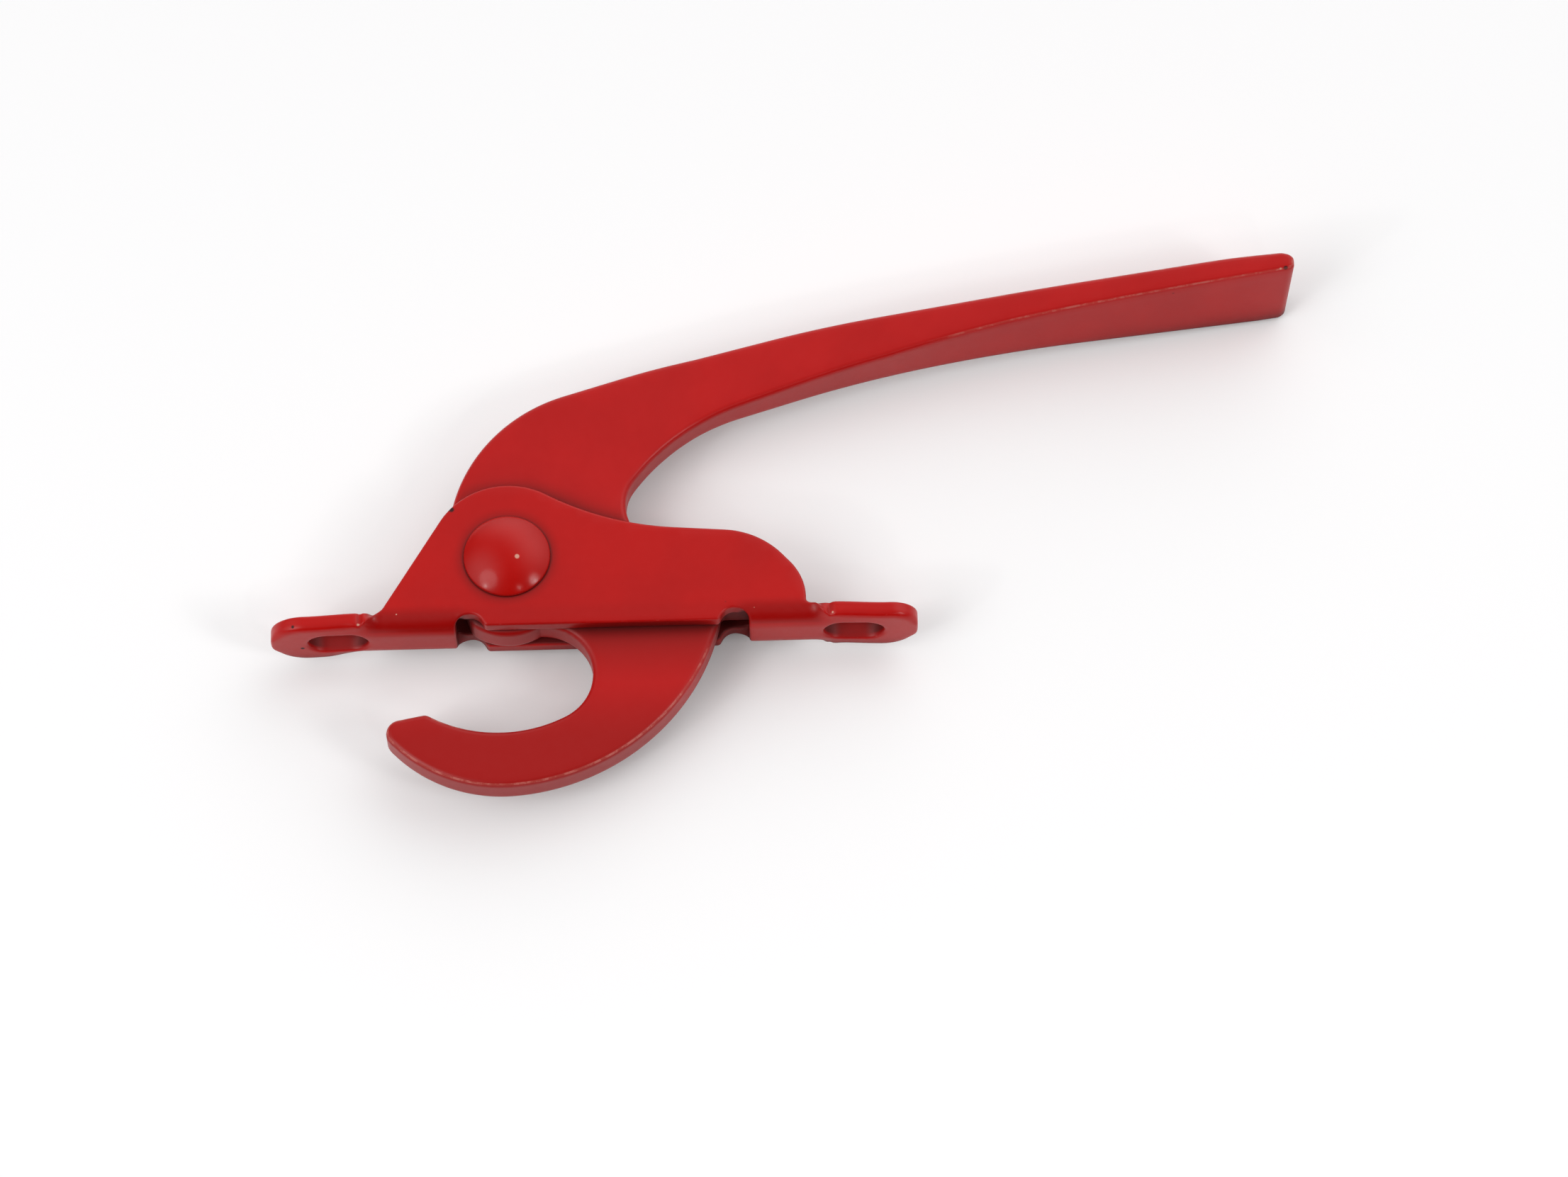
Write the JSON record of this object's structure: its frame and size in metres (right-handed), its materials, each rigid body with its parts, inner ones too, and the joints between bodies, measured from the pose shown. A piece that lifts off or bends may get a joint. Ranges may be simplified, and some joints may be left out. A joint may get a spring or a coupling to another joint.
{
  "type": "lever hook latch",
  "caption": "Red painted hook lever that turns on a rivet between the cheeks of a folded, slotted mounting bracket.",
  "frame": {"origin": "middle of the two mounting slots, on the mounting face, in the mid-plane of the bracket", "axes": "+X runs along the bracket towards the handle's end, +Y stands away from the mounting face, +Z runs along the rivet towards its head"},
  "size_m": [0.1368, 0.0726, 0.0136],
  "materials": {
    "bracket_paint": "semi-gloss red paint on folded steel sheet",
    "lever_paint": "semi-gloss red paint on a casting, worn along its long edges",
    "rivet_paint": "semi-gloss red paint over a steel rivet"
  },
  "bodies": {
    "bracket": {"bracket": "bracket_paint", "pivot_rivet": "rivet_paint"},
    "lever": {"hook_lever": "lever_paint"}
  },
  "joints": [
    {"name": "lever_pivot", "type": "hinge", "parent": "bracket", "child": "lever", "pos_m": [-0.0115, 0.01, 0], "axis": [0, 0, 1], "range_deg": [-0.8, 88]}
  ]
}
